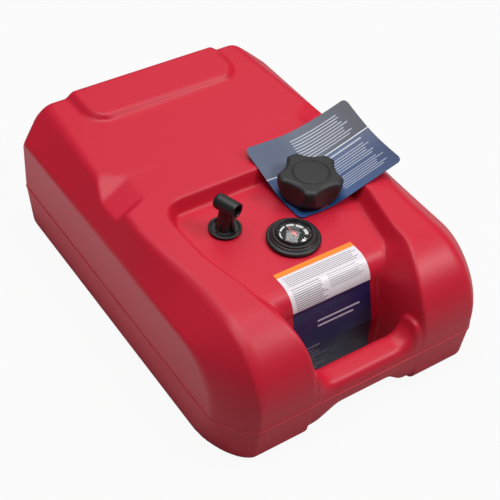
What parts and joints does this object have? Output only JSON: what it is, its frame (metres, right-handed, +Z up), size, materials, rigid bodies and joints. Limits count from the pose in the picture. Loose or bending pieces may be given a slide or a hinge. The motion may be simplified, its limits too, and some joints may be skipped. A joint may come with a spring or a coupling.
{
  "type": "outboard fuel tank",
  "caption": "Portable blow-moulded fuel tank with an integral carrying bar, screwed vented filler cap on a tether, float gauge and pick-up elbow with dip tube.",
  "frame": {"origin": "centre of the length and width of the tank, on the floor it stands on", "axes": "+Z up; the carrying bar faces -Y; +X to the right seen from the bar, where the filler cap is"},
  "size_m": [0.386, 0.536, 0.198],
  "materials": {
    "tank_plastic": "fine-grained moulding",
    "label_film": "printed film",
    "card_stock": "coated card",
    "cap_plastic": "fine-grained moulding",
    "core_plastic": "moulded",
    "fitting_plastic": "moulded",
    "seal_rubber": "matte",
    "acetal": "moulded",
    "steel": "drawn",
    "dial_face": "printed",
    "pointer_plastic": "moulded",
    "lens_plastic": "polished",
    "float_foam": "closed-cell",
    "tube_plastic": "extruded"
  },
  "bodies": {
    "tank": {"tank_shell": "tank_plastic", "front_label": "label_film", "info_card": "card_stock", "gauge_housing": "fitting_plastic", "gauge_gasket": "seal_rubber", "gauge_bezel": "fitting_plastic", "gauge_lens": "lens_plastic", "gauge_dial": "dial_face", "gauge_rods": "steel", "gauge_foot": "fitting_plastic", "pickup_elbow": "fitting_plastic", "pickup_gasket": "seal_rubber", "pickup_tube": "tube_plastic", "pickup_screen": "tube_plastic"},
    "tether": {"tether_strap": "acetal"},
    "cap_swivel": {"tether_pin": "acetal"},
    "filler_cap": {"cap_shell": "cap_plastic", "cap_core": "core_plastic", "cap_gasket": "seal_rubber", "relief_spring": "steel", "relief_retainer": "acetal", "vacuum_valve": "seal_rubber"},
    "relief_valve": {"relief_poppet": "acetal"},
    "float": {"gauge_float": "float_foam", "float_follower": "acetal"},
    "pointer": {"gauge_pointer": "pointer_plastic", "gauge_strip": "steel"}
  },
  "joints": [
    {"name": "cap_lift", "type": "slide", "parent": "tank", "child": "tether", "axis": [0, 0, 1], "range_m": [0, 0.075]},
    {"name": "cap_rise", "type": "slide", "parent": "tether", "child": "cap_swivel", "axis": [0, 0, 1], "range_m": [0, 0.0125]},
    {"name": "cap_turn", "type": "hinge", "parent": "cap_swivel", "child": "filler_cap", "pos_m": [0.0625, -0.0435, 0.17], "axis": [0, 0, 1], "range_deg": [0, 901]},
    {"name": "relief_lift", "type": "slide", "parent": "filler_cap", "child": "relief_valve", "axis": [0, 0, 1], "range_m": [0, 0.0025], "stiffness_N_per_m": 300, "springref_m": -0.004, "deforming": ["relief_spring"]},
    {"name": "float_rise", "type": "slide", "parent": "tank", "child": "float", "axis": [0, 0, 1], "range_m": [-0.041, 0.041]},
    {"name": "pointer_turn", "type": "hinge", "parent": "tank", "child": "pointer", "pos_m": [0, -0.1, 0.155], "axis": [0, 0, 1], "range_deg": [-135.1, 135.1]}
  ],
  "couplings": [
    {"joint": "cap_turn", "follows": "cap_rise", "rad_per_m": 1256.6},
    {"joint": "pointer_turn", "follows": "float_rise", "rad_per_m": -57.468}
  ]
}
